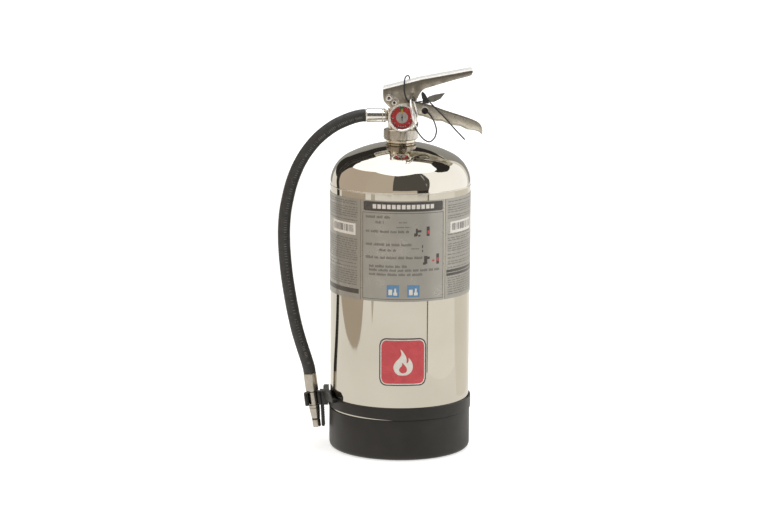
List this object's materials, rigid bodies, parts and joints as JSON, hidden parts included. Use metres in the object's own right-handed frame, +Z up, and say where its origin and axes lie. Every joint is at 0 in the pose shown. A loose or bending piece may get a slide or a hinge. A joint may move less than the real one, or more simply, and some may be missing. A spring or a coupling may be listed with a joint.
{
  "type": "fire extinguisher",
  "caption": "Upright stored-pressure fire extinguisher: steel cylinder in a boot, gauge valve with squeeze lever and pull pin, clipped rubber hose and nozzle.",
  "frame": {"origin": "centre of the boot's flat underside, on the cylinder's axis", "axes": "+Z up the cylinder's axis, +X towards the lever and handle, -Y towards the gauge and the front label, the hose on the -X side"},
  "size_m": [0.2593, 0.1828, 0.4882],
  "materials": {
    "polished_steel": "mirror-polished stainless steel",
    "satin_steel": "satin stainless steel",
    "plated_brass": "bright nickel plate, slightly warm",
    "gauge_brass": "plain",
    "black_plastic": "semi-matt moulded plastic",
    "black_rubber": "smooth rubber",
    "pale_nylon": "natural nylon",
    "seal_plastic": "flexible plastic",
    "label_foil": "grey metallised label",
    "red_sticker": "printed vinyl",
    "gauge_red": "printed dial",
    "gauge_yellow": "painted pointer",
    "gauge_window": "clear window"
  },
  "bodies": {
    "root": {"cylinder_body": "polished_steel", "weld_bead": "polished_steel", "cylinder_dome": "polished_steel", "neck_ring": "plated_brass", "neck_gasket": "black_rubber", "boot": "black_plastic", "hose_band": "black_plastic", "nozzle_clip": "black_plastic", "strap_tail": "black_plastic", "label_front": "label_foil", "label_left": "label_foil", "label_right": "label_foil", "badge_sticker": "red_sticker", "valve_body": "plated_brass", "collar_nut": "plated_brass", "stem_oring": "black_rubber", "stem_bushing": "plated_brass", "stem_spring": "satin_steel", "siphon_adapter": "pale_nylon", "siphon_tube": "pale_nylon", "gauge_case": "plated_brass", "bourdon_tube": "gauge_brass", "gauge_dial": "gauge_red", "gauge_lens": "gauge_window", "gauge_bezel": "polished_steel", "carry_handle": "satin_steel", "handle_rivet": "plated_brass", "lever_rivet": "plated_brass", "outlet_fitting": "plated_brass", "outlet_oring": "black_rubber"},
    "lever": {"lever": "satin_steel", "seal_strand": "seal_plastic"},
    "stem": {"valve_stem": "satin_steel", "stem_seal": "black_rubber"},
    "pin": {"pull_pin": "satin_steel"},
    "ring": {"pin_ring": "polished_steel", "seal_link": "seal_plastic", "seal_tail": "seal_plastic", "seal_loop": "seal_plastic", "seal_flag": "seal_plastic"},
    "needle": {"gauge_needle": "gauge_yellow"},
    "hose": {"hose_ferrule_top": "plated_brass", "hose": "black_rubber", "hose_ferrule_bottom": "plated_brass", "nozzle_body": "plated_brass", "nozzle_oring": "black_rubber", "nozzle_tip": "plated_brass"}
  },
  "joints": [
    {"name": "lever_squeeze", "type": "hinge", "parent": "root", "child": "lever", "pos_m": [-0.0149, 0, 0.4516], "axis": [0, 1, 0], "range_deg": [0, 12], "stiffness_Nm_per_rad": 6, "springref_deg": -8.59},
    {"name": "stem_slide", "type": "slide", "parent": "root", "child": "stem", "axis": [0, 0, -1], "range_m": [0, 0.0036], "deforming": ["stem_spring"]},
    {"name": "pin_pull", "type": "slide", "parent": "root", "child": "pin", "axis": [0, -1, 0], "range_m": [0, 0.04]},
    {"name": "ring_swing", "type": "hinge", "parent": "pin", "child": "ring", "pos_m": [0.0152, -0.0255, 0.4496], "axis": [0, -1, 0], "range_deg": [0, 25]},
    {"name": "needle_turn", "type": "hinge", "parent": "root", "child": "needle", "pos_m": [0.0016, 0, 0.4276], "axis": [0, 1, 0], "range_deg": [-100, 60], "stiffness_Nm_per_rad": 0.002},
    {"name": "hose_swing", "type": "hinge", "parent": "root", "child": "hose", "pos_m": [-0.0191, 0, 0.4272], "axis": [-1, 0, 0], "range_deg": [0, 60]}
  ],
  "couplings": [
    {"joint": "stem_slide", "follows": "lever_squeeze", "m_per_rad": 0.0169}
  ]
}
